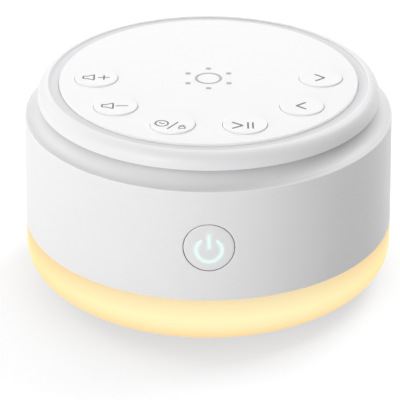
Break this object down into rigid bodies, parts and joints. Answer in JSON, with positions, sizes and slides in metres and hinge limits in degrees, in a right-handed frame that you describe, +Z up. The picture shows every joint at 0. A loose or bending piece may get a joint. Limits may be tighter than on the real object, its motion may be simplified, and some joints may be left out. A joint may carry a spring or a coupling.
{
  "type": "white noise sound machine",
  "caption": "Low round bedside sound machine: press keys on a raised round panel, a rounded collar over a cove, a lit power key in front and a glowing diffuser ring at its foot.",
  "frame": {"origin": "centre of the surface the four feet stand on", "axes": "+Z up; -Y is the front with the power key; +Y is the rear with the charging socket; +X is to the right seen from the front"},
  "size_m": [0.1, 0.1, 0.0572],
  "materials": {
    "panel_white": "fine satin, printed signs",
    "key_white": "fine satin",
    "collar_white": "satin moulded",
    "shell_white": "soft satin, fine spark texture",
    "power_cap_white": "satin",
    "clear_sign": "clear, lit from behind",
    "milky_diffuser": "milky, lit from inside",
    "base_white": "fine spark texture",
    "soft_grey_rubber": "matt silicone",
    "steel_screw": "zinc plated",
    "board_green": "solder mask",
    "board_white": "white solder mask",
    "switch_black": "moulded",
    "spring_steel": "bright wire",
    "ribbon_white": "laminated film",
    "socket_cream": "moulded nylon",
    "usb_steel": "plated",
    "usb_black": "moulded",
    "chip_black": "epoxy",
    "can_metal": "sleeved can",
    "battery_silver": "pouch foil",
    "foam_black": "foam tape",
    "basket_black": "black coat",
    "plate_zinc": "zinc plated",
    "ferrite": "ground ferrite",
    "cone_paper": "pressed pulp",
    "surround_rubber": "soft",
    "spider_cloth": "resin cloth",
    "coil_copper": "enamelled wire",
    "gasket_foam": "closed-cell foam",
    "grille_cloth": "acoustic mesh",
    "led_yellow": "phosphor lamp",
    "reflector_white": "moulded",
    "wire_red": "silicone insulation"
  },
  "bodies": {
    "housing": {"base_plate": "base_white", "base_screws": "steel_screw", "battery_cell": "battery_silver", "battery_tape": "foam_black", "battery_wires": "wire_red", "board_chips": "chip_black", "body_shell": "shell_white", "capacitors": "can_metal", "control_panel": "panel_white", "grille_cloth": "grille_cloth", "key_board": "board_green", "light_ring": "milky_diffuser", "main_board": "board_green", "panel_screws": "steel_screw", "power_board": "board_green", "power_board_wires": "wire_red", "power_leds": "led_yellow", "ribbon_cable": "ribbon_white", "ribbon_sockets": "socket_cream", "ring_board": "board_white", "ring_board_wires": "wire_red", "ring_leds": "led_yellow", "ring_reflector": "reflector_white", "rubber_feet": "soft_grey_rubber", "small_screws": "steel_screw", "speaker_basket": "basket_black", "speaker_gasket": "gasket_foam", "speaker_magnet": "ferrite", "speaker_spider": "spider_cloth", "speaker_surround": "surround_rubber", "speaker_terminals": "board_green", "speaker_top_plate": "plate_zinc", "speaker_wires": "wire_red", "speaker_yoke": "plate_zinc", "switch_housings": "switch_black", "top_collar": "collar_white", "touch_spring": "spring_steel", "usb_socket": "usb_steel", "usb_tongue": "usb_black", "wire_sockets": "socket_cream"},
    "volume_up_key": {"key_volume_up": "key_white", "plunger_volume_up": "switch_black"},
    "volume_down_key": {"key_volume_down": "key_white", "plunger_volume_down": "switch_black"},
    "timer_key": {"key_timer": "key_white", "plunger_timer": "switch_black"},
    "play_pause_key": {"key_play_pause": "key_white", "plunger_play_pause": "switch_black"},
    "previous_key": {"key_previous": "key_white", "plunger_previous": "switch_black"},
    "next_key": {"key_next": "key_white", "plunger_next": "switch_black"},
    "power_key": {"power_key": "power_cap_white", "power_key_lens": "clear_sign", "plunger_power": "switch_black"},
    "speaker_cone": {"speaker_cone": "cone_paper", "dust_cap": "cone_paper", "voice_coil": "coil_copper"}
  },
  "joints": [
    {"name": "volume_up_press", "type": "slide", "parent": "housing", "child": "volume_up_key", "axis": [0, 0, -1], "range_m": [0, 0.0004], "stiffness_N_per_m": 3000},
    {"name": "volume_down_press", "type": "slide", "parent": "housing", "child": "volume_down_key", "axis": [0, 0, -1], "range_m": [0, 0.0004], "stiffness_N_per_m": 3000},
    {"name": "timer_press", "type": "slide", "parent": "housing", "child": "timer_key", "axis": [0, 0, -1], "range_m": [0, 0.0004], "stiffness_N_per_m": 3000},
    {"name": "play_pause_press", "type": "slide", "parent": "housing", "child": "play_pause_key", "axis": [0, 0, -1], "range_m": [0, 0.0004], "stiffness_N_per_m": 3000},
    {"name": "previous_press", "type": "slide", "parent": "housing", "child": "previous_key", "axis": [0, 0, -1], "range_m": [0, 0.0004], "stiffness_N_per_m": 3000},
    {"name": "next_press", "type": "slide", "parent": "housing", "child": "next_key", "axis": [0, 0, -1], "range_m": [0, 0.0004], "stiffness_N_per_m": 3000},
    {"name": "power_press", "type": "slide", "parent": "housing", "child": "power_key", "axis": [0, 1, 0], "range_m": [0, 0.0004], "stiffness_N_per_m": 3000},
    {"name": "cone_travel", "type": "slide", "parent": "housing", "child": "speaker_cone", "axis": [0, 0, 1], "range_m": [-0.001, 0.001], "stiffness_N_per_m": 1500, "deforming": ["speaker_surround", "speaker_spider"]}
  ]
}
